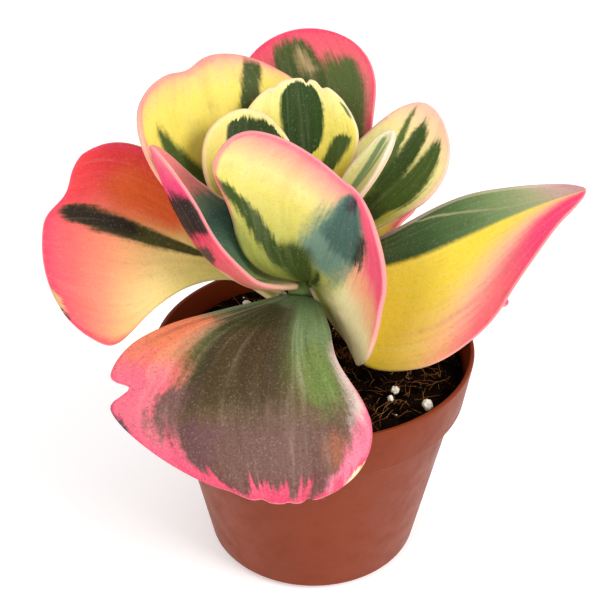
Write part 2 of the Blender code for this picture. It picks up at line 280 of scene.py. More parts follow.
def leafSheet(shape, across, along):
    # returns the leaf's middle surface and each point's distance from the margin, in millimetres
    azimuth, height = shape["foot"]
    points = np.array([leafFoot(azimuth, height, shape["rib"][0]), *shape["rib"]], float)
    shoulder = shape["shoulder"]
    heart = leafMake["heart"]
    acrossEdge, alongEdge = across, along
    for angle, spread, depth in shape.get("notches", ()):
        ahead = along - heart
        turn = np.degrees(np.arctan2(across, ahead))
        far = np.maximum(np.abs(across), np.where(ahead > 0, ahead / (1 - heart), -ahead / heart))
        keep = 1 - depth * np.exp(-((turn - angle) / spread) ** 2) * far ** 4
        across = across * keep
        along = heart + ahead * keep
    beyond = np.clip((along - shoulder) / (1 - shoulder), 0.0, 1.0)
    rounded = shoulder + (1 - shoulder) * beyond * np.sqrt(1 - across ** 2 / 2)
    place = np.where(along <= shoulder, along, rounded)
    reach = np.where(along <= shoulder, across, across * np.sqrt(1 - beyond ** 2 / 2))
    onLeft = reach < 0

    def sided(key):
        left, right = shape[key]
        return np.where(onLeft, ease(left, place), ease(right, place))

    share = np.abs(reach)
    crease = shape.get("crease", 1.0)
    bendHere = np.radians(sided("bend"))
    bend = bendHere[..., None] * (share[..., None] * arcPoints) ** crease
    width = sided("width") * share
    level = width * (np.cos(bend) * arcWeights).sum(-1)
    lift = width * (np.sin(bend) * arcWeights).sum(-1)

    spots, ways, length = ribFrame(points, place)
    start, end = shape["faces"]
    blend = np.clip(place / leafMake["turnBy"], 0.0, 1.0)
    facing = np.radians(start + (end - start) * blend * blend * (3 - 2 * blend))
    side = np.stack([-np.sin(facing), np.cos(facing), np.zeros_like(facing)], -1)
    side = unit(side - (side * ways).sum(-1, keepdims=True) * ways)
    above = np.cross(ways, side)
    turn = np.radians(ease(shape["twist"], place))[..., None]
    leftWay = side * np.cos(turn) - above * np.sin(turn)
    above = above * np.cos(turn) + side * np.sin(turn)
    sweep = np.radians(sided("sweep"))[..., None] if "sweep" in shape else 0.0
    hand = np.where(onLeft, 1.0, -1.0)[..., None]
    outward = leftWay * hand * np.cos(sweep) + ways * np.sin(sweep)
    places = spots + outward * level[..., None] + above * lift[..., None]
    tipRoom = (1 - alongEdge) * length
    rim = np.minimum((1 - np.abs(acrossEdge)) * np.maximum(sided("width"), leafMake["leastWidth"]), tipRoom)
    return places, rim


def leafNormals(places):
    # the under side's direction at each point of a grid of rows
    down = np.gradient(places, axis=0)
    over = np.gradient(places, axis=1)
    normal = np.cross(over, down)
    size = np.linalg.norm(normal, axis=-1, keepdims=True)
    return -normal / np.maximum(size, 1e-9)


def quads(index):  # the four corners of each cell of a grid of point numbers
    corners = np.stack([index[:-1, :-1], index[:-1, 1:], index[1:, 1:], index[1:, :-1]], -1)
    return corners.reshape(-1, 4).tolist()


def makeLeaf(name, shape, upper, under):
    make = leafMake
    edge = np.array(make["nearMargin"])
    middle = np.linspace(edge[-1], 2 - edge[-1], make["columns"])[1:-1]
    across = np.concatenate([edge, middle, 2 - edge[::-1]]) - 1
    along = np.concatenate([np.linspace(0.0, 1 - edge[-1], make["rows"])[:-1], 1 - edge[::-1]])
    acrossGrid, alongGrid = np.meshgrid(across, along)
    places, rim = leafSheet(shape, acrossGrid, alongGrid)
    normals = leafNormals(places)
    thick = make["thickness"] / 2
    share = np.maximum(np.abs(acrossGrid), alongGrid ** 3)
    body = thick * (make["marginShare"] + (1 - make["marginShare"]) * (1 - share ** 2))
    curl = np.clip(rim / body, 0, 1)
    half = body * np.sqrt(1 - (1 - curl) ** 2)
    centre = np.array([stemX, stemY, soilLevel])
    below = (places + normals * half[..., None] + centre) * mm
    above = (places - normals * half[..., None] + centre) * mm
    rows, columns = acrossGrid.shape
    points = list(below.reshape(-1, 3))
    values = [acrossGrid.reshape(-1), alongGrid.reshape(-1), rim.reshape(-1)]
    belowIndex = np.arange(rows * columns).reshape(rows, columns)
    aboveIndex = belowIndex.copy()
    inner = aboveIndex[:-1, 1:-1]
    aboveIndex[:-1, 1:-1] = rows * columns + np.arange(inner.size).reshape(inner.shape)
    points += list(above[:-1, 1:-1].reshape(-1, 3))
    inside = [value.reshape(rows, columns)[:-1, 1:-1].reshape(-1) for value in values]
    values = [np.concatenate(pair) for pair in zip(values, inside)]
    faces = [(a, d, c, b) for a, b, c, d in quads(belowIndex)]
    belowCount = len(faces)
    faces += quads(aboveIndex)
    faces.append(belowIndex[0].tolist() + aboveIndex[0][::-1][1:-1].tolist())
    node = name.replace("_skin", "")
    piece = pieceFrom(name, points, faces, [upper, under], node, node)
    mesh = piece.data
    for attribute, value in zip(("across", "along", "rim"), values):
        layer = mesh.attributes.new(attribute, "FLOAT", "POINT")
        layer.data.foreach_set("value", value.astype(np.float32))
    for face in mesh.polygons:
        face.material_index = 1 if face.index < belowCount else 0
    return piece


rimRadius = (potHigh.x - potLow.x) / 2 / mm
soilDrop = potHigh.z / mm - soilLevel
overRim = rimRadius + stemY

leafShapes = {
    "leaf_left": dict(
        foot=(182, 21), faces=(182, 180), rib=[(-24, -1, 30), (-43, -4, 38), (-63, -8, 43)],
        twist=(0, 45, 52, 52), width=((2, 2.5, 9, 25, 29, 31), (3, 7, 12, 21, 26, 26)),
        bend=((0, 5, 10), (0, 15, 25)), shoulder=0.6, notches=[(-83, 5, 0.09), (42, 18, 0.10)]),
    "leaf_left_folded": dict(
        foot=(235, 25), faces=(235, 180),
        rib=[(-13, -10.5, 29.5), (-22.5, -15, 40), (-29, -16, 53), (-34.5, -13, 67)],
        twist=(0, 10, 0, 0), width=((3, 6, 7, 7, 7, 5), (3, 15, 19, 19, 17, 14, 12.5, 10, 8, 6.5, 5)),
        bend=((0, 75, 75, 60), (0, 65, 75, 70)), crease=0.4, shoulder=0.7),
    "leaf_upper_left": dict(
        foot=(150, 27), faces=(150, 120), rib=[(-12, 11, 46), (-19, 16, 61), (-23, 22, 76)],
        twist=(0, 0, -5), width=((3, 9, 23, 32, 37, 37), (3, 5, 13, 23, 26, 26)),
        bend=((20, 50, 45), (20, 50, 40)), shoulder=0.45, notches=[(-28, 14, 0.06)]),
    "leaf_back_tall": dict(
        foot=(90, 25), faces=(90, 90), rib=[(3, 20, 45), (1, 30, 62), (-4, 36, 77.5)],
        twist=(0, 0, 0), width=((3, 5, 14, 18, 22, 24), (3, 5, 13, 17, 21, 21)),
        bend=((20, 20, 20), (20, 30, 20)), shoulder=0.6),
    "leaf_centre_back": dict(
        foot=(95, 32), faces=(95, 90), rib=[(0, 8, 49), (-1, 13, 61), (-2, 16.5, 72)],
        twist=(0, 0, 0), width=((3, 5, 12, 15, 17, 17), (3, 4, 11, 15, 16, 16)),
        bend=((20, 20, 20), (20, 20, 20)), shoulder=0.5,
        notches=[(-36, 5, 0.03), (22, 4, 0.05), (44, 4, 0.06), (60, 3, 0.03)]),
    "leaf_inner_left": dict(
        foot=(180, 32.5), faces=(175, 102), rib=[(-10, 0, 45), (-14, 2.5, 57), (-14, 6.5, 68)],
        twist=(0, 0, 0), width=((3, 5, 9, 12, 13, 12), (3, 5, 9, 13, 14, 14)),
        bend=((30, 40, 40), (30, 40, 40)), shoulder=0.5),
    "leaf_front_flared": dict(
        foot=(286, 27.5), faces=(106, 90), rib=[(2, -8, 36), (5, -10, 46), (10, -12, 57)],
        twist=(0, 0, 0),
        width=((3, 10, 15.5, 19.5, 22.5, 27, 33, 36.5, 39, 40.5, 41), (3, 27, 33, 30, 23.5, 15, 10)),
        bend=((0, 20, 20), (50, 85, 60)), sweep=((0, 15, 25), (-80, -62, -45, -28, -10, 0, 0)),
        shoulder=0.5, notches=[(79, 4, 0.05), (66, 7, 0.02)]),
    "leaf_inner_right": dict(
        foot=(33, 32.5), faces=(33, 20), rib=[(10, 1, 44), (17, 3, 54), (22, 5, 63)],
        twist=(0, -20, -20), width=((2, 3, 4, 5, 5, 5), (2, 4, 5, 5, 5, 5)),
        bend=((50, 50, 50), (50, 50, 50)), crease=0.5, shoulder=0.5),
    "leaf_right_upper": dict(
        foot=(18, 27.5), faces=(18, 30), rib=[(15, 9, 43), (24, 14, 53), (32, 19, 64)],
        twist=(0, -30, -30, -30), width=((3, 6, 9, 10, 10, 10), (3, 6, 11, 15, 16, 14)),
        bend=((20, 20, 20), (20, 20, 20)), shoulder=0.55),
    "leaf_right_pointed": dict(
        foot=(355, 24), faces=(355, 360), rib=[(22, -2, 34), (44, -2, 43), (68, -5, 52)],
        twist=(0, -75, -60, -50, -40), width=((3, 4, 6, 7, 5, 3), (3, 6, 18, 31, 33, 29.5, 25, 19, 13, 8, 5)),
        bend=((0, 40, 50, 50), (0, 20, 20, 20)), sweep=((0, 0), (-20, -42, -8, 0, 0)),
        crease=0.5, shoulder=0.75),
    "leaf_front_drooping": dict(
        foot=(265, 21), faces=(265, 265),
        rib=[(-3, -24, 22), (-4, 1.5 - overRim, soilDrop + 8.7), (-4, -12.5 - overRim, soilDrop - 8.3)],
        twist=(0, 0, 0), width=((5, 9, 12, 19, 23, 25), (6, 21, 38, 42, 36, 27)),
        bend=((-20, -30, -30), (0, 0, 0)), shoulder=0.6,
        notches=[(79, 2.2, 0.13), (-26, 4, 0.025), (-4, 5, 0.012), (24, 5, 0.02), (46, 6, 0.02)]),
    "leaf_behind_right": dict(
        foot=(20, 14), faces=(20, 15), rib=[(20, 5, 20), (38, 10, 19), (56, 12, 10)],
        twist=(0, 0, 0), width=((3, 8, 14, 18, 18, 16), (3, 7, 10, 10, 10, 10)),
        bend=((0, 0, 0), (0, 0, 0)), shoulder=0.6),
    "leaf_behind_left": dict(
        foot=(165, 17), faces=(165, 160), rib=[(-20, 7, 25), (-38, 9, 29), (-52, 10, 32)],
        twist=(0, 0, 0), width=((3, 4, 8, 12, 12, 12), (3, 4, 10, 16, 18, 16)),
        bend=((0, 0, 0), (0, 0, 0)), shoulder=0.6),
    "leaf_behind_back": dict(
        foot=(70, 19), faces=(70, 50), rib=[(11, 14, 26), (20, 22, 31), (31, 28, 34)],
        twist=(0, 0, 0), width=((3, 7, 14, 18, 18, 16), (3, 5, 7, 9, 8, 8)),
        bend=((0, 0, 0), (0, 0, 0)), shoulder=0.6),
    "dried_scale": dict(
        foot=(300, 8), faces=(300, 300), rib=[(4, -6.5, 10), (5, -7.5, 13), (4.5, -7, 16)],
        twist=(0, 0, 0), width=((1.5, 2, 2, 1.5), (1.5, 2, 2, 1.5)),
        bend=((30, 30), (30, 30)), shoulder=0.5),
}

# how the leaves are coloured. Tones are screen values. A ramp runs from foot to tip. A patch has three
# values at its start and at its end: how far along, how far across, and half its width.

def spot(start, end, soft, ends, shade, **more):
    return {"from": start, "to": end, "soft": soft, "ends": ends, "tone": shade, **more}


leafPaint = {
    "leaf_left": {
        "ramp": [(0.0, (190, 190, 110)), (0.36, (225, 210, 120)), (0.52, (245, 215, 135)),
                 (0.63, (245, 185, 120)), (0.75, (245, 145, 110)), (0.88, (240, 105, 100)),
                 (1.0, (235, 75, 100))],
        "patches": [
            spot((0.44, 0.8, 0.45), (1.05, 0.85, 0.55), 0.3, 0.1, (230, 60, 65), taper=0.0),
            spot((0.46, 0.5, 0.28), (0.8, 0.52, 0.26), 0.2, 0.1, (225, 95, 45)),
            spot((0.34, 0.08, 0.09), (0.96, 0.25, 0.12), 0.035, 0.03, (70, 70, 30), bow=-0.08),
            spot((0.62, 0.1, 0.09), (0.96, 0.25, 0.1), 0.06, 0.05, (40, 30, 20), bow=-0.03),
        ],
        "scars": [
            spot((0.965, -0.78, 0.14), (1.1, -0.78, 0.1), 0.05, 0.01, (210, 165, 115), ragged=2.0),
            spot((0.955, -0.94, 0.06), (1.1, -0.96, 0.05), 0.03, 0.01, (60, 30, 25), ragged=2.0),
        ],
        "rim": {"tone": (235, 70, 95), "width": 3.0, "start": 0.6},
    },
    "leaf_left_folded": {
        "ramp": [(0.0, (215, 175, 130)), (0.14, (140, 150, 80)), (0.3, (80, 110, 75)),
                 (0.58, (50, 80, 65)), (0.7, (95, 110, 85)), (0.78, (220, 130, 120)),
                 (1.0, (235, 130, 130))],
        "patches": [
            spot((0.05, 0.98, 0.14), (0.4, 0.98, 0.1), 0.08, 0.05, (175, 180, 90)),
        ],
        "rim": {"tone": (225, 150, 130), "width": 0.7, "start": 0.1},
        "under": {
            "ramp": [(0.0, (220, 190, 145)), (0.16, (230, 185, 140)), (0.3, (225, 120, 110)),
                     (0.48, (225, 85, 100)), (0.62, (215, 55, 85)), (0.85, (225, 60, 110)),
                     (1.0, (235, 110, 125))],
            "patches": [
                spot((0.61, -0.45, 0.62), (0.8, -0.55, 0.55), 0.08, 0.03, (35, 20, 15), ragged=2.0,
                     taper=0.0),
                spot((0.46, -0.2, 0.3), (0.57, -0.3, 0.4), 0.12, 0.03, (80, 50, 40), ragged=2.0),
                spot((0.22, -0.05, 0.2), (0.42, -0.15, 0.25), 0.16, 0.05, (240, 215, 160)),
            ],
            "rim": {"tone": (230, 105, 125), "width": 0.7, "start": 0.1},
        },
    },
    "leaf_upper_left": {
        "ramp": [(0.0, (150, 165, 70)), (0.45, (195, 195, 70)), (0.68, (235, 215, 90)),
                 (0.84, (250, 225, 105)), (0.92, (250, 210, 125)), (1.0, (250, 170, 140))],
        "patches": [
            spot((0.7, 0.22, 0.12), (1.01, 0.56, 0.12), 0.04, 0.02, (65, 80, 30), taper=0.3),
            spot((0.4, -0.45, 0.2), (0.8, -0.72, 0.06), 0.05, 0.03, (70, 90, 35)),
        ],
        "rim": {"tone": (245, 150, 140), "width": 3.0, "start": 0.5},
    },
    "leaf_back_tall": {
        "ramp": [(0.0, (130, 140, 80)), (0.5, (215, 150, 120)), (0.8, (235, 110, 115)),
                 (1.0, (235, 80, 105))],
        "patches": [
            spot((0.2, 0.3, 0.5), (0.97, -0.06, 0.3), 0.08, 0.03, (70, 85, 40), ragged=1.8, taper=0.3),
            spot((0.3, 0.6, 0.34), (0.86, 0.56, 0.26), 0.08, 0.04, (85, 100, 50), ragged=1.8, taper=0.3),
            spot((0.8, 0.15, 0.1), (0.92, 0.05, 0.05), 0.08, 0.04, (175, 150, 105), ragged=1.8),
        ],
        "rim": {"tone": (240, 60, 100), "width": 2.2, "start": 0.4},
    },
    "leaf_centre_back": {
        "ramp": [(0.0, (190, 180, 70)), (0.5, (230, 210, 80)), (0.75, (245, 230, 110)),
                 (0.9, (250, 240, 145)), (1.0, (250, 230, 165))],
        "patches": [
            spot((0.54, 0.06, 0.3), (0.985, 0.1, 0.42), 0.04, 0.01, (45, 70, 25), taper=0.8),
            spot((0.42, 0.46, 0.18), (0.66, 0.76, 0.17), 0.05, 0.02, (65, 85, 30), ragged=1.0),
            spot((0.82, 0.96, 0.04), (0.94, 0.93, 0.09), 0.04, 0.02, (95, 115, 60)),
        ],
        "rim": {"tone": (250, 225, 175), "width": 1.2, "start": 0.4},
    },
    "leaf_inner_left": {
        "ramp": [(0.0, (125, 130, 50)), (0.6, (170, 160, 60)), (0.76, (230, 210, 105)),
                 (0.9, (240, 225, 130)), (1.0, (245, 230, 155))],
        "patches": [
            spot((0.76, 0.26, 0.66), (0.95, 0.22, 0.66), 0.06, 0.02, (45, 65, 25), ragged=1.8),
        ],
        "rim": {"tone": (250, 220, 165), "width": 1.2, "start": 0.4},
    },
    "leaf_front_flared": {
        "ramp": [(0.0, (100, 110, 40)), (0.16, (135, 140, 60)), (0.32, (190, 190, 90)),
                 (0.48, (210, 200, 100)), (0.62, (230, 215, 110)), (0.74, (245, 220, 140)),
                 (0.83, (245, 190, 140)), (0.92, (245, 155, 140)), (1.0, (245, 130, 135))],
        "patches": [
            spot((0.16, 0.85, 0.5), (0.56, 0.9, 0.5), 0.16, 0.08, (255, 240, 180), taper=0.0),
            spot((0.44, 0.75, 0.4), (0.66, 0.78, 0.4), 0.14, 0.08, (250, 175, 130), taper=0.0),
            spot((0.56, 0.88, 0.34), (1.1, 0.8, 0.5), 0.18, 0.07, (245, 90, 120), taper=0.0, ragged=1.6),
            spot((0.24, 0.0, 0.26), (0.93, 0.3, 0.3), 0.12, 0.08, (110, 140, 120), bow=0.03, ragged=2.2),
            spot((0.5, 0.2, 0.24), (0.95, 0.36, 0.24), 0.09, 0.05, (70, 100, 90), ragged=1.8),
            spot((0.8, 0.28, 0.1), (0.95, 0.42, 0.1), 0.07, 0.03, (50, 50, 60), ragged=2.0),
            spot((0.55, 0.44, 0.08), (0.77, 0.56, 0.05), 0.06, 0.03, (50, 55, 45), ragged=2.0),
            spot((0.16, -0.42, 0.18), (0.62, -1.0, 0.1), 0.06, 0.03, (60, 80, 30), bow=0.03, ragged=1.5,
                 taper=0.2),
            spot((0.24, -0.94, 0.1), (0.44, -0.98, 0.05), 0.05, 0.04, (165, 170, 85)),
            spot((-0.1, -0.2, 0.45), (0.36, -0.22, 0.2), 0.16, 0.05, (60, 75, 25), taper=0.2),
            # a thin dark green line from the foot: painted shade in the rolled channel at the leaf's foot
            spot((0.04, 0.22, 0.07), (0.27, 0.16, 0.04), 0.05, 0.03, (50, 65, 20)),
        ],
        "rim": {"tone": (245, 105, 125), "width": 2.0, "start": 0.42},
    },
    "leaf_inner_right": {
        "ramp": [(0.0, (200, 190, 90)), (0.6, (235, 225, 140)), (0.85, (240, 235, 165)),
                 (1.0, (245, 235, 195))],
        "patches": [
            spot((0.4, -0.16, 0.16), (0.96, -0.22, 0.24), 0.1, 0.03, (130, 155, 100), ragged=1.8),
            spot((0.42, 0.02, 0.16), (0.94, 0.4, 0.14), 0.1, 0.03, (150, 170, 115), ragged=1.8),
        ],
        "rim": {"tone": (250, 225, 195), "width": 0.8, "start": 0.3},
    },
    "leaf_right_upper": {
        "ramp": [(0.0, (150, 150, 60)), (0.4, (175, 170, 65)), (0.58, (225, 220, 130)),
                 (0.8, (245, 230, 150)), (0.92, (250, 210, 160)), (1.0, (245, 185, 160))],
        "patches": [
            spot((0.1, 0.38, 0.46), (0.62, 0.42, 0.3), 0.1, 0.05, (50, 65, 20), ragged=1.3),
            spot((0.46, 0.16, 0.18), (0.97, -0.32, 0.06), 0.05, 0.03, (85, 105, 45), ragged=1.6),
            spot((0.48, 0.22, 0.18), (0.92, 0.18, 0.12), 0.05, 0.03, (60, 80, 30), ragged=1.8),
            spot((0.42, 0.58, 0.32), (0.9, 0.62, 0.12), 0.06, 0.04, (70, 90, 30), ragged=1.8),
        ],
        "rim": {"tone": (245, 185, 165), "width": 1.8, "start": 0.5},
    },
    "leaf_right_pointed": {
        "ramp": [(0.0, (50, 65, 30)), (0.42, (55, 80, 40)), (0.56, (80, 105, 60)), (0.7, (120, 140, 90)),
                 (0.83, (160, 160, 120)), (0.93, (190, 155, 145)), (1.0, (190, 130, 135))],
        "patches": [
            spot((0.0, 0.7, 0.54), (1.1, 0.68, 0.56), 0.035, 0.01, (240, 210, 65), taper=0.0, ragged=0.5),
            spot((0.44, 0.95, 0.3), (1.1, 0.62, 0.7), 0.24, 0.12, (245, 175, 150), ragged=1.0, taper=0.0,
                 over=0.035),
            spot((0.46, 1.1, 0.26), (1.1, 0.8, 0.62), 0.18, 0.1, (240, 105, 110), ragged=1.4, taper=0.0,
                 over=0.035),
            spot((0.72, 1.0, 0.34), (1.2, 0.5, 0.8), 0.24, 0.12, (235, 65, 110), ragged=1.0, taper=0.0,
                 over=0.035),
            spot((0.4, -0.98, 0.05), (0.8, 0.0, 0.03), 0.05, 0.05, (150, 150, 110), bow=0.1, ragged=0.6),
        ],
        "rim": {"tone": (225, 75, 95), "width": 1.4, "start": 0.5, "side": 1},
    },
    "leaf_front_drooping": {
        "grain": 0.45, "fan": 0.7, "cloud": 0.4,
        "ramp": [(0.0, (95, 120, 75)), (0.28, (110, 135, 90)), (0.48, (105, 120, 65)),
                 (0.6, (100, 85, 50)), (0.74, (100, 70, 55)), (0.88, (110, 75, 65)), (1.0, (110, 65, 65))],
        "patches": [
            spot((0.36, -0.5, 0.2), (0.64, -0.45, 0.22), 0.16, 0.08, (110, 130, 65), ragged=2.0),
            spot((0.1, 0.3, 0.26), (0.66, 0.26, 0.34), 0.18, 0.08, (75, 60, 35), ragged=2.0, taper=0.2),
            spot((0.1, 0.52, 0.36), (0.32, 0.42, 0.3), 0.16, 0.06, (50, 55, 20), ragged=1.6),
            spot((0.3, -1.0, 0.12), (0.78, -0.96, 0.24), 0.12, 0.06, (215, 190, 180), ragged=2.2),
            spot((0.24, 1.05, 0.4), (0.62, 1.02, 0.42), 0.1, 0.05, (235, 130, 90), ragged=1.8, taper=0.2),
            spot((0.46, 1.1, 0.5), (0.86, 1.1, 0.34), 0.08, 0.07, (235, 105, 125), ragged=3.0, fingers=0.6,
                 taper=0.0),
            spot((0.8, 1.1, 0.34), (1.1, 1.1, 0.5), 0.1, 0.05, (230, 90, 120), ragged=3.0, taper=0.0),
            spot((0.56, 0.56, 0.12), (0.8, 0.86, 0.05), 0.07, 0.05, (115, 80, 75), ragged=3.0),
            spot((0.7, 0.48, 0.14), (0.94, 0.72, 0.05), 0.07, 0.05, (105, 70, 70), ragged=3.0),
            spot((0.62, -1.1, 0.16), (1.1, -1.1, 0.78), 0.1, 0.06, (235, 120, 145), ragged=3.0, taper=0.0),
            spot((0.74, -0.5, 0.1), (0.88, -0.58, 0.12), 0.1, 0.05, (150, 90, 65), ragged=2.0),
            spot((0.62, 0.0, 0.34), (0.94, 0.02, 0.36), 0.3, 0.14, (140, 110, 105), ragged=3.0,
                 strength=0.35),
            spot((0.94, 0.0, 2.0), (1.4, 0.0, 2.0), 0.1, 0.02, (230, 80, 110), fingers=2.2, taper=0.0),
        ],
        "scars": [
            spot((0.94, -0.9, 0.1), (1.05, -0.86, 0.08), 0.04, 0.01, (240, 215, 175), ragged=1.5),
            spot((0.68, 1.0, 0.03), (0.8, 1.0, 0.04), 0.04, 0.02, (70, 60, 70), ragged=1.5),
            spot((0.9, -0.4, 0.07), (1.02, -0.3, 0.05), 0.06, 0.02, (110, 70, 65), ragged=2.0),
        ],
        "rim": {"tone": (230, 65, 105), "width": 1.6, "start": 0.5},
    },
    "leaf_behind_right": {
        "ramp": [(0.0, (150, 150, 70)), (0.5, (205, 110, 90)), (1.0, (205, 60, 100))],
        "patches": [
            spot((0.1, 0.1, 0.3), (0.7, 0.1, 0.25), 0.1, 0.05, (80, 90, 45)),
        ],
        "rim": {"tone": (215, 60, 105), "width": 3.0, "start": 0.3},
    },
    "leaf_behind_left": {
        "ramp": [(0.0, (215, 205, 130)), (0.5, (215, 170, 95)), (1.0, (230, 110, 105))],
        "patches": [
            spot((0.3, 0.2, 0.15), (0.9, 0.2, 0.25), 0.1, 0.05, (80, 90, 45)),
        ],
        "rim": {"tone": (230, 90, 110), "width": 3.0, "start": 0.3},
    },
    "leaf_behind_back": {
        "ramp": [(0.0, (190, 190, 80)), (0.6, (230, 205, 80)), (0.85, (240, 150, 120)),
                 (1.0, (230, 85, 100))],
        "patches": [
            spot((0.2, -0.3, 0.3), (0.8, -0.3, 0.3), 0.1, 0.05, (80, 90, 45)),
        ],
        "rim": {"tone": (230, 90, 110), "width": 3.0, "start": 0.5},
    },
    "dried_scale": {
        "ramp": [(0.0, (60, 35, 20)), (0.5, (120, 75, 40)), (1.0, (85, 50, 25))],
        "patches": [],
        "rim": {"tone": (50, 30, 15), "width": 0.5, "start": 0.0},
    },
}

leafLook = {
    # how often each repeats across and along a leaf, and its step from leaf to leaf
    "veins": (16.0, 1.6, 3.7), "broad": (4.5, 1.2, 2.1), "comb": (30.0, 2.0, 1.3),
    "fine": 900.0, "mottle": 260.0, "speckle": 1500.0, "grit": 1900.0,
    "wander": (0.10, 0.05), "rampShift": (0.09, 0.04), "endShift": (0.06, 0.05), "fingerShift": (0.15, 0.30),
    # the edge values and the edge's tone paint a pale line along each margin: a painted highlight on the
    # leaf's edge
    "strength": 0.89, "taper": 0.6, "fold": 0.14, "rimFade": 0.12, "rimDepth": 0.85, "edge": (0.4, 0.1, 0.22),
    "cloud": 0.10, "grain": 0.16, "faded": 0.45, "underSeed": 40, "roughness": (0.36, 0.56),
    "edgeHighlightTone": (250, 214, 200), "fadedTone": (206, 160, 132), "speckleTone": (252, 240, 226),
    "veinTone": (255, 250, 225), "combTone": (40, 34, 20),
    "cloudDark": (36, 28, 20), "cloudPale": (222, 206, 178),
    "gritPale": (214, 196, 178), "gritDark": (52, 34, 24), "bumpHeight": 0.00035, "bumpStrength": 0.5,
}


def leafTone(shade):  # a leaf's colour, a little darker than the plain tone
    return tuple(part * leafLook["strength"] for part in tone(*shade)[:3]) + (1.0,)


def leafFinish(name, paint, seed, faded=0.0):
    style = leafLook
    finish, shader, wire = newMaterial(name, 0.45, Specular_IOR_Level=0.12)
    across, along, rim = (wire.node("ShaderNodeAttribute", {"attribute_name": part}, {}, 2)
                          for part in ("across", "along", "rim"))
    place = wire.here()
    fan = across * (1 - (along - 0.6) * paint.get("fan", 0.0))

    def drawnOut(key, detail, roughness):  # noise that is stretched along the leaf
        often, run, step = style[key]
        return wire.grain(wire.point(fan * often, along * run, seed * step), 1.0, detail, roughness) - 0.5

    streak = drawnOut("veins", 5.0, 0.62)
    broad = drawnOut("broad", 3.0, 0.55)
    comb = drawnOut("comb", 3.0, 0.6)
    fine = wire.grain(place, style["fine"], 2.0, 0.6) - 0.5
    mottle = wire.grain(place, style["mottle"], 3.0, 0.55) - 0.5
    shift = streak * style["wander"][0] + fine * style["wander"][1]
    stops = [(at, leafTone(shade)[:3]) for at, shade in paint["ramp"]]
    ramped = along + streak * style["rampShift"][0] + mottle * style["rampShift"][1]
    colour = wire.node("ShaderNodeValToRGB", {"stops": stops}, {"Fac": ramped})

    def patchOver(colour, patch):
        ragged = patch.get("ragged", 1.0)
        wide = patch.get("fingers", 0.0)
        x = across + shift * ragged
        y = along + (comb * style["endShift"][0] + mottle * style["endShift"][1]) * ragged
        y = y + (streak * style["fingerShift"][0] + broad * style["fingerShift"][1]) * wide
        (startAt, startCentre, startHalf), (endAt, endCentre, endHalf) = patch["from"], patch["to"]
        share = y.node("ShaderNodeMapRange", {}, {"Value": y, "From Min": startAt, "From Max": endAt})
        centre = share * (endCentre - startCentre) + startCentre
        centre = centre + share * (1 - share) * (4 * patch.get("bow", 0.0))
        narrow = abs(share * 2 - 1) ** 6 * patch.get("taper", style["taper"])
        half = (share * (endHalf - startHalf) + startHalf) * (1 - narrow)
        soft, ends = patch["soft"], patch["ends"]
        mask = (half - abs(x - centre)).smooth(-soft, soft) * y.smooth(startAt - ends, startAt + ends)
        mask = mask * (1 - y.smooth(endAt - ends, endAt + ends)) * patch.get("strength", 1.0)
        if "over" in patch:  # only beyond the leaf's fold
            mask = mask * across.smooth(style["fold"] - patch["over"], style["fold"] + patch["over"])
        return mask.blend(colour, leafTone(patch["tone"]))

    for patch in paint["patches"]:
        colour = patchOver(colour, patch)
    band = paint["rim"]
    flush = (rim + (streak + mottle) * band["width"]).smooth(band["width"], 0.0)
    flush = flush * along.smooth(band["start"] - style["rimFade"], band["start"] + style["rimFade"])
    if "side" in band:
        flush = flush * (across * band["side"]).smooth(-0.1, 0.3)
    colour = (flush * style["rimDepth"]).blend(colour, leafTone(band["tone"]))
    # a pale line along every margin: painted highlight on the leaf's edge
    edgeFrom, edgeTo, edgeDepth = style["edge"]
    colour = (rim.smooth(edgeFrom, edgeTo) * edgeDepth).blend(colour, tone(*style["edgeHighlightTone"]))
    for patch in paint.get("scars", []):
        colour = patchOver(colour, patch)
    if faded:
        sockets = {0: faded, 6: colour, 7: tone(*style["fadedTone"])}
        colour = wire.node("ShaderNodeMix", {"data_type": "RGBA"}, sockets, 2)
    speckle = wire.grain(place, style["speckle"], 1.0, 0.5).smooth(0.62, 0.74, 0.0, 0.05)
    cloud = paint.get("cloud", style["cloud"])
    grain = paint.get("grain", style["grain"])
    rough = wire.grain(place, style["grit"], 3.0, 0.8)
    for mask, shade in (
        (speckle, "speckleTone"),
        (streak.smooth(0.0, 0.3, 0.0, 0.05), "veinTone"),
        ((comb * 0.5 - mottle * 0.7).smooth(0.0, 0.35, 0.0, 0.22), "combTone"),
        (broad.smooth(0.0, 0.22, 0.0, cloud), "cloudDark"),
        (broad.smooth(-0.04, -0.24, 0.0, cloud * 0.5), "cloudPale"),
        (rough.smooth(0.54, 0.74, 0.0, grain * 0.4), "gritPale"),
        (rough.smooth(0.48, 0.32, 0.0, grain), "gritDark"),
    ):
        colour = mask.blend(colour, tone(*style[shade]))
    feed(shader, "Base Color", colour)
    feed(shader, "Roughness", (mottle + fine).smooth(-0.4, 0.4, *style["roughness"]))
    height = fine * 0.5 + mottle + comb * 0.5
    feed(shader, "Normal", bump(wire, height, style["bumpHeight"], style["bumpStrength"]))
    return finish
for seed, (name, shape) in enumerate(leafShapes.items()):
    paint = leafPaint[name]
    upper = leafFinish(name + "_upper", paint, seed)
    faded = 0.0 if "under" in paint else leafLook["faded"]
    under = leafFinish(name + "_under", paint.get("under", paint), seed + leafLook["underSeed"], faded)
    makeLeaf(name + "_skin", shape, upper, under)
print("leaves grown")

# trees of geometry nodes: named inputs, and a bake that leaves a plain mesh

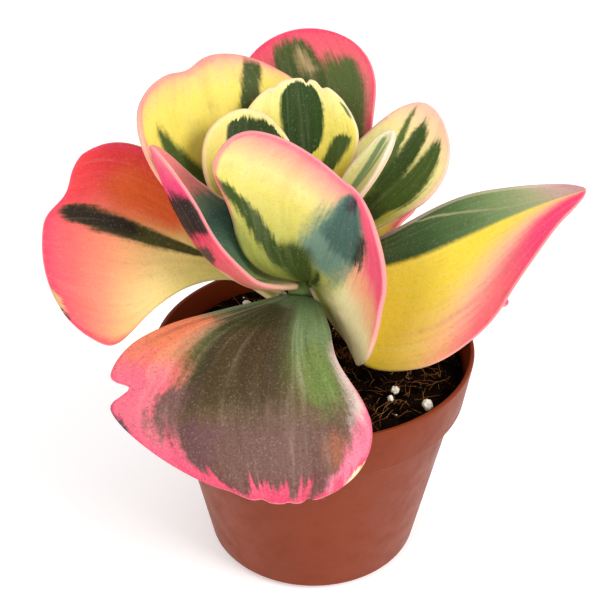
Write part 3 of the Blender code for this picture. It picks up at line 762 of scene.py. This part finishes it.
def newTree(name, sizes):
    tree = bpy.data.node_groups.new(name, "GeometryNodeTree")
    tree.interface.new_socket(name="Geometry", in_out="OUTPUT", socket_type="NodeSocketGeometry")
    kinds = {int: "NodeSocketInt", float: "NodeSocketFloat"}
    for label, value in sizes.items():
        kind = kinds.get(type(value), "NodeSocketObject")
        tree.interface.new_socket(name=label, in_out="INPUT", socket_type=kind)
    source = tree.nodes.new("NodeGroupInput")
    return Wire(tree), {label: Wire(tree, source.outputs[label]) for label in sizes}


def bake(name, wire, shape, finish, sizes, slotName, *nodes):
    shape = wire.node("GeometryNodeRealizeInstances", {}, {"Geometry": shape})
    shape = wire.node("GeometryNodeSetMaterial", {}, {"Geometry": shape, "Material": finish})
    sink = wire.tree.nodes.new("NodeGroupOutput")
    wire.tree.links.new(shape.socket, sink.inputs["Geometry"])
    piece = bpy.data.objects.new(name, bpy.data.meshes.new(name))
    bpy.context.scene.collection.objects.link(piece)
    modifier = piece.modifiers.new("grow", "NODES")
    modifier.node_group = wire.tree
    for item in wire.tree.interface.items_tree:
        if item.in_out == "INPUT":
            modifier[item.identifier] = sizes[item.name]
    bpy.context.view_layer.update()
    grown = bpy.data.meshes.new_from_object(piece.evaluated_get(bpy.context.evaluated_depsgraph_get()))
    piece.modifiers.clear()
    piece.data = grown
    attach(piece, "root")
    if nodes:
        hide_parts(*nodes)
    return piece


weldGap = 0.00001


def revolve(wire, turns, corners, fillet, fillets):
    # a closed body turned about Z from corners (radius, height) that start and end on the axis
    line = wire.node("GeometryNodeMeshLine", {}, {"Count": len(corners)})
    switch = wire.tree.nodes.new("GeometryNodeIndexSwitch")
    switch.data_type = "VECTOR"
    while len(switch.index_switch_items) < len(corners):
        switch.index_switch_items.new()
    index = wire.node("GeometryNodeInputIndex")
    wire.tree.links.new(index.socket, switch.inputs["Index"])
    for count, (radius, height) in enumerate(corners):
        wire.tree.links.new(wire.point(radius, 0.0, height).socket, switch.inputs[count + 1])
    corner = Wire(wire.tree, switch.outputs[0])
    line = wire.node("GeometryNodeSetPosition", {}, {"Geometry": line, "Position": corner})
    curve = wire.node("GeometryNodeMeshToCurve", {}, {"Mesh": line})
    rounding = {"Curve": curve, "Radius": fillet, "Count": fillets, "Limit Radius": True}
    curve = wire.node("GeometryNodeFilletCurve", {"mode": "POLY"}, rounding)
    outline = wire.node("GeometryNodeCurveToMesh", {}, {"Curve": curve})
    rows = wire.node("GeometryNodeAttributeDomainSize", {}, {"Geometry": outline})
    grid = wire.node("GeometryNodeMeshGrid", {}, {"Vertices X": turns + 1, "Vertices Y": rows})
    row = index.math("MODULO", rows)
    column = (index / rows).math("FLOOR")
    at = wire.node("GeometryNodeSampleIndex", {"data_type": "FLOAT_VECTOR"},
                   {"Geometry": outline, "Value": wire.node("GeometryNodeInputPosition"), "Index": row})
    radius = at.part(0)
    height = at.part(2)
    angle = column / turns * math.tau
    place = wire.point(radius * angle.math("COSINE"), radius * angle.math("SINE"), height)
    body = wire.node("GeometryNodeSetPosition", {}, {"Geometry": grid, "Position": place})
    body = wire.node("GeometryNodeMergeByDistance", {}, {"Geometry": body, "Distance": weldGap})
    body = wire.node("GeometryNodeFlipFaces", {}, {"Mesh": body})
    return wire.node("GeometryNodeSetShadeSmooth", {}, {"Geometry": body})


def scatter(wire, ground, share, seed, reach):
    # points on the upward faces of a body, within a reach of its axis
    normal = wire.node("GeometryNodeInputNormal")
    upward = normal.part(2).math("GREATER_THAN", 0.5)
    here = wire.node("GeometryNodeInputPosition")
    flat = wire.node("ShaderNodeVectorMath", {"operation": "MULTIPLY"}, {0: here, 1: (1.0, 1.0, 0.0)})
    away = wire.node("ShaderNodeVectorMath", {"operation": "LENGTH"}, {0: flat}, 1)
    upward = upward * away.math("LESS_THAN", reach)
    surface = wire.node("GeometryNodeObjectInfo", {}, {"Object": ground}, "Geometry")
    sockets = {"Mesh": surface, "Selection": upward, "Density": share, "Seed": seed}
    return wire.node("GeometryNodeDistributePointsOnFaces", {}, sockets)


def chance(wire, kind, low, high, seed):
    out = {"FLOAT": 1, "FLOAT_VECTOR": 0}[kind]
    sockets = {"Min": low, "Max": high, "Seed": seed}
    return wire.node("FunctionNodeRandomValue", {"data_type": kind}, sockets, out)


# pot

potShape = {
    "Height": 62.3, "Rim radius": 42.5, "Collar height": 13.5, "Collar taper": 1.9, "Collar step": 2.0,
    "Base radius": 29.2, "Wall": 1.2, "Fillet": 0.5, "Foot ring": 1.6, "Hole ring": 17.0, "Hole radius": 3.2,
    "Lip": 1.6, "Lip lean": 0.2, "Foot flare": 0.3, "Punch depth": 8.0, "Punch sides": 32, "Fillet points": 4,
    "Holes": 6, "Turns": 160,
}


def sizesOf(spec):  # lengths in metres, counts as they are
    return {label: value if isinstance(value, int) else value * mm for label, value in spec.items()}


potSizes = sizesOf(potShape)
wire, size = newTree("pot_tree", potSizes)
collarFoot = size["Height"] - size["Collar height"]
collarRadius = size["Rim radius"] - size["Collar taper"]
wallTop = collarRadius - size["Collar step"]
thin = size["Wall"]
foot = size["Foot ring"]
potCorners = [
    (0.0, thin),
    (size["Base radius"] - foot - thin, thin),
    (size["Base radius"] - thin, foot + thin),
    (wallTop - thin, collarFoot),
    (collarRadius - thin, collarFoot + thin),
    (size["Rim radius"] - thin, size["Height"]),
    (size["Rim radius"], size["Height"]),
    (size["Rim radius"] - size["Lip lean"], size["Height"] - size["Lip"]),
    (collarRadius, collarFoot),
    (wallTop, collarFoot),
    (size["Base radius"] + size["Foot flare"], foot),
    (size["Base radius"] - foot, 0.0),
    (0.0, 0.0),
]
shape = revolve(wire, size["Turns"], potCorners, size["Fillet"], size["Fillet points"])
ring = wire.node("GeometryNodeMeshCircle", {}, {"Vertices": size["Holes"], "Radius": size["Hole ring"]})
drill = {"Vertices": size["Punch sides"], "Radius": size["Hole radius"], "Depth": size["Punch depth"]}
punch = wire.node("GeometryNodeMeshCylinder", {}, drill)
punches = wire.node("GeometryNodeInstanceOnPoints", {}, {"Points": ring, "Instance": punch})
punches = wire.node("GeometryNodeRealizeInstances", {}, {"Geometry": punches})
cut = {"operation": "DIFFERENCE", "solver": "FLOAT"}
shape = wire.node("GeometryNodeMeshBoolean", cut, {"Mesh 1": shape, "Mesh 2": punches})

potLook = {"clay": (116, 44, 12), "pale": (140, 60, 24), "dark": (90, 33, 9), "dust": (200, 122, 74),
           "broad": 30.0, "clouds": 160.0, "fine": 1400.0, "dustScale": 420.0, "depths": (0.25, 0.18, 0.12),
           "roughness": (0.36, 0.52), "bumpHeight": 0.0001, "bumpStrength": 0.35}
potFinish, shader, look = newMaterial("pot_plastic", 0.4, Specular_IOR_Level=0.12)
place = look.here()
broad = look.grain(place, potLook["broad"], 2.0, 0.5)
clouds = look.grain(place, potLook["clouds"], 4.0, 0.6)
fine = look.grain(place, potLook["fine"], 2.0, 0.6)
paleDepth, darkDepth, dustDepth = potLook["depths"]
colour = broad.smooth(0.3, 0.7, 0.0, paleDepth).blend(tone(*potLook["clay"]), tone(*potLook["pale"]))
colour = clouds.smooth(0.45, 0.75, 0.0, darkDepth).blend(colour, tone(*potLook["dark"]))
dust = look.grain(place, potLook["dustScale"], 3.0, 0.7).smooth(0.62, 0.80, 0.0, dustDepth)
colour = dust.blend(colour, tone(*potLook["dust"]))
feed(shader, "Base Color", colour)
feed(shader, "Roughness", (clouds + fine * 0.4).smooth(0.4, 1.0, *potLook["roughness"]))
feed(shader, "Normal", bump(look, fine * 0.4 + clouds, potLook["bumpHeight"], potLook["bumpStrength"]))
bake("pot_skin", wire, shape, potFinish, potSizes, "pot_plastic", "pot")
print("pot turned")

# soil

soilShape = {"Level": soilLevel, "Crown": 0.8, "Edge rounding": 1.5, "Gap": 0.3, "Lumps": 1.1, "Turns": 144}
soilSizes = sizesOf(soilShape)
shared = ("Rim radius", "Collar taper", "Collar height", "Collar step", "Base radius", "Wall", "Height")
soilSizes.update({label: potSizes[label] for label in shared})
soilLook = {"rings": 30, "fillet": 0.0001, "clods": 240.0, "swing": 2.4, "skin": 0.002, "dark": (8, 5, 3),
            "brown": (26, 16, 10), "grit": (84, 54, 34), "gritScale": 900.0, "clodScale": 260.0,
            "bumpHeight": 0.0008, "bumpStrength": 0.9}
wire, size = newTree("soil_tree", soilSizes)
thin = size["Wall"]
gap = size["Gap"]
collarRadius = size["Rim radius"] - size["Collar taper"]
collarFoot = size["Height"] - size["Collar height"]
edge = size["Rim radius"] - thin - gap * 2.5 - size["Collar taper"] * 0.5
soilCorners = [(0.0, size["Level"] + size["Crown"] * 0.5)]
for step in range(1, soilLook["rings"]):
    share = step / soilLook["rings"]
    rise = size["Crown"] * 0.5 * (1 - share)
    soilCorners.append(((edge - size["Edge rounding"]) * share, size["Level"] + rise))
soilCorners += [
    (edge - size["Edge rounding"], size["Level"]),
    (edge, size["Level"] - size["Edge rounding"]),
    (collarRadius - thin - gap * 2, collarFoot + thin * 2),
    (collarRadius - size["Collar step"] - thin - gap * 2, collarFoot),
    (size["Base radius"] - thin * 2, thin * 4),
    (0.0, thin * 4),
]
shape = revolve(wire, size["Turns"], soilCorners, soilLook["fillet"], 1)
here = wire.node("GeometryNodeInputPosition")
high = here.part(2)
onTop = high.smooth(size["Level"] - soilLook["skin"], size["Level"])
lumps = (wire.grain(here, soilLook["clods"], 5.0, 0.65) - 0.5) * size["Lumps"] * soilLook["swing"] * onTop
shape = wire.node("GeometryNodeSetPosition", {}, {"Geometry": shape, "Offset": wire.point(0.0, 0.0, lumps)})

soilFinish, shader, look = newMaterial("peat_finish", 0.95, Specular_IOR_Level=0.0)
place = look.here()
grit = look.grain(place, soilLook["gritScale"], 4.0, 0.7)
clods = look.grain(place, soilLook["clodScale"], 4.0, 0.6)
colour = clods.smooth(0.35, 0.7).blend(tone(*soilLook["dark"]), tone(*soilLook["brown"]))
colour = grit.smooth(0.58, 0.75, 0.0, 0.7).blend(colour, tone(*soilLook["grit"]))
feed(shader, "Base Color", colour)
feed(shader, "Roughness", grit.smooth(0.3, 0.7, 0.8, 1.0))
feed(shader, "Normal", bump(look, grit + clods, soilLook["bumpHeight"], soilLook["bumpStrength"]))
soil = bake("soil_skin", wire, shape, soilFinish, soilSizes, "peat", "soil")
print("soil filled")

# what lies on the soil: crumbs, coir fibres and specks of perlite

def layered(name, shades, scale, roughness):
    finish, shader, look = newMaterial(name, roughness, Specular_IOR_Level=0.0)
    place = look.here()
    colour = look.grain(place, scale, 2.0, 0.6).smooth(0.35, 0.65).blend(tone(*shades[0]), tone(*shades[1]))
    colour = look.grain(place, scale * 2.3, 2.0, 0.6).smooth(0.5, 0.7).blend(colour, tone(*shades[2]))
    feed(shader, "Base Color", colour)
    feed(shader, "Normal", bump(look, look.grain(place, scale * 6, 3.0, 0.6), 0.0002, 0.6))
    return finish


crumbShape = {"Ground": soil, "Density": 300000.0, "Smallest": 0.25, "Largest": 1.5, "Reach": 38.6, "Seed": 4}
fibreShape = {
    "Ground": soil, "Density": 150000.0, "Length": 11.0, "Thickness": 0.12, "Wander": 3.4,
    "Reach": 35.0, "Seed": 9,
}
fibreMake = {"points": 8, "tilt": 0.22, "shortest": 0.3, "bends": 190.0, "middle": (0.5, 0.5, 0.44)}
speckShape = {"Ground": soil, "Density": 9000.0, "Smallest": 0.4, "Largest": 0.8, "Reach": 38.0, "Seed": 15}


def soilSizesOf(spec):  # lengths in metres, everything else as it is
    lengths = [label for label, value in spec.items() if isinstance(value, float) and label != "Density"]
    return {label: value * mm if label in lengths else value for label, value in spec.items()}


for name, slotName, spec, shades in (
    ("peat_crumbs", "peat", crumbShape, [(12, 8, 5), (32, 20, 12), (78, 50, 30)]),
    ("perlite_specks", "perlite", speckShape, [(238, 232, 214), (214, 204, 180), (250, 246, 236)]),
):
    sizes = soilSizesOf(spec)
    wire, size = newTree(name + "_tree", sizes)
    points = scatter(wire, size["Ground"], size["Density"], size["Seed"], size["Reach"])
    grain = wire.node("GeometryNodeMeshIcoSphere", {}, {"Radius": 1.0, "Subdivisions": 1})
    turn = chance(wire, "FLOAT_VECTOR", (0, 0, 0), (6.3, 6.3, 6.3), 1)
    pick = chance(wire, "FLOAT", 0.0, 1.0, 2) ** 3
    big = (size["Smallest"] + (size["Largest"] - size["Smallest"]) * pick) * 0.5
    flat = wire.point(big * chance(wire, "FLOAT", 0.7, 1.3, 3), big, big * chance(wire, "FLOAT", 0.5, 1.0, 4))
    sockets = {"Points": points, "Instance": grain, "Rotation": turn, "Scale": flat}
    grains = wire.node("GeometryNodeInstanceOnPoints", {}, sockets)
    bake(name, wire, grains, layered(name + "_finish", shades, 700.0, 0.9), sizes, slotName)

sizes = soilSizesOf(fibreShape)
wire, size = newTree("fibre_tree", sizes)
points = scatter(wire, size["Ground"], size["Density"], size["Seed"], size["Reach"])
strand = wire.node("GeometryNodeCurvePrimitiveLine", {}, {"Start": (-0.5, 0.0, 0.0), "End": (0.5, 0.0, 0.0)})
strand = wire.node("GeometryNodeResampleCurve", {}, {"Curve": strand, "Count": fibreMake["points"]})
tilt = chance(wire, "FLOAT", -fibreMake["tilt"], fibreMake["tilt"], 5)
turn = wire.point(0.0, tilt, chance(wire, "FLOAT", 0.0, math.tau, 6))
long = size["Length"] * chance(wire, "FLOAT", fibreMake["shortest"], 1.0, 7)
sockets = {"Points": points, "Instance": strand, "Rotation": turn, "Scale": long}
strands = wire.node("GeometryNodeInstanceOnPoints", {}, sockets)
strands = wire.node("GeometryNodeRealizeInstances", {}, {"Geometry": strands})
here = wire.node("GeometryNodeInputPosition")
drift = wire.node("ShaderNodeTexNoise", {}, {"Vector": here, "Scale": fibreMake["bends"], "Detail": 1.0}, 1)
drift = wire.node("ShaderNodeVectorMath", {"operation": "SUBTRACT"}, {0: drift, 1: fibreMake["middle"]})
drift = wire.node("ShaderNodeVectorMath", {"operation": "SCALE"}, {0: drift, "Scale": size["Wander"]})
strands = wire.node("GeometryNodeSetPosition", {}, {"Geometry": strands, "Offset": drift})
loop = wire.node("GeometryNodeCurvePrimitiveCircle", {}, {"Resolution": 4, "Radius": size["Thickness"] * 0.5})
sockets = {"Curve": strands, "Profile Curve": loop, "Fill Caps": True}
strands = wire.node("GeometryNodeCurveToMesh", {}, sockets)
fibreFinish = layered("coir_finish", [(92, 54, 30), (150, 98, 56), (188, 138, 84)], 120.0, 0.7)
bake("coir_fibres", wire, strands, fibreFinish, sizes, "peat")
print("fibres laid")


def lump(points, grit, seed):  # pushes points in and out by noise
    start = Vector((seed, 0, 0))
    return [point * (1 + grit * noise.fractal(point * 1.1 + start, 0.9, 2.0, 3)) for point in points]


perliteLook = {"shades": [(244, 238, 222), (222, 212, 188), (252, 249, 240)], "grit": 0.35}
perliteFinish = layered("perlite_finish", perliteLook["shades"], 500.0, 0.9)
for seed, node in enumerate(("perlite_large", "perlite_middle", "perlite_small", "perlite_far")):
    low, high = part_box(node)
    ball = bmesh.new()
    bmesh.ops.create_icosphere(ball, subdivisions=4, radius=1.0)
    points = lump([vertex.co.copy() for vertex in ball.verts], perliteLook["grit"], seed * 4.0)
    reach = [max(abs(point[axis]) for point in points) for axis in range(3)]
    middle = (low + high) / 2
    half = (high - low) / 2
    grow = [half[axis] / reach[axis] for axis in range(3)]
    points = [[middle[axis] + point[axis] * grow[axis] for axis in range(3)] for point in points]
    faces = [[vertex.index for vertex in face.verts] for face in ball.faces]
    ball.free()
    pieceFrom(node + "_skin", points, faces, [perliteFinish], "perlite", node)

# stem

stemShape = {
    "Foot": stemSpec["foot"], "Tip": stemSpec["tip"], "Tall": stemSpec["height"], "Deep": 6.0, "Turns": 64,
}
stemLook = {"rings": 24, "swell": 0.05, "slim": 0.03, "fillet": 0.0003,
            "bark": (104, 80, 52), "young": (112, 132, 72),
            "youngFrom": 0.006, "youngTo": 0.024, "scars": (66, 48, 32), "scarScale": 900.0,
            "bumpHeight": 0.0004, "bumpStrength": 0.6}
stemSizes = sizesOf(stemShape)
wire, size = newTree("stem_tree", stemSizes)
stemCorners = [(0.0, size["Tall"]), (size["Tip"] * 0.7, size["Tall"] - size["Tip"] * 0.12)]
for step in range(stemLook["rings"]):
    share = 1 - step / (stemLook["rings"] - 1)
    swell = 1 + stemLook["swell"] * math.cos(step * 1.7)
    radius = (size["Foot"] + (size["Tip"] - size["Foot"]) * share) * (swell - stemLook["slim"])
    stemCorners.append((radius, size["Tall"] * share * 0.95))
stemCorners += [(size["Foot"], size["Deep"] * -1.0), (0.0, size["Deep"] * -1.0)]
shape = revolve(wire, size["Turns"], stemCorners, stemLook["fillet"], 1)
stemPlace = (stemX * mm, stemY * mm, soilLevel * mm)
shape = wire.node("GeometryNodeTransform", {}, {"Geometry": shape, "Translation": stemPlace})
stemFinish, shader, look = newMaterial("stem_finish", 0.7, Specular_IOR_Level=0.2)
place = look.here()
high = place.part(2)
young = high + (look.grain(place, 180.0, 3.0, 0.6) - 0.5) * 0.01
young = young.smooth(soilLevel * mm + stemLook["youngFrom"], soilLevel * mm + stemLook["youngTo"])
colour = young.blend(tone(*stemLook["bark"]), tone(*stemLook["young"]))
rings = (high * stemLook["scarScale"] + look.grain(place, 90.0, 2.0, 0.5) * 2.0).math("SINE")
scars = rings.smooth(0.80, 0.96, 0.0, 0.6)
colour = scars.blend(colour, tone(*stemLook["scars"]))
feed(shader, "Base Color", colour)
feed(shader, "Normal", bump(look, look.grain(place, 500.0, 4.0, 0.6) - scars,
                              stemLook["bumpHeight"], stemLook["bumpStrength"]))
bake("stem_skin", wire, shape, stemFinish, stemSizes, "stem_bark", "stem")
print("stem grown")
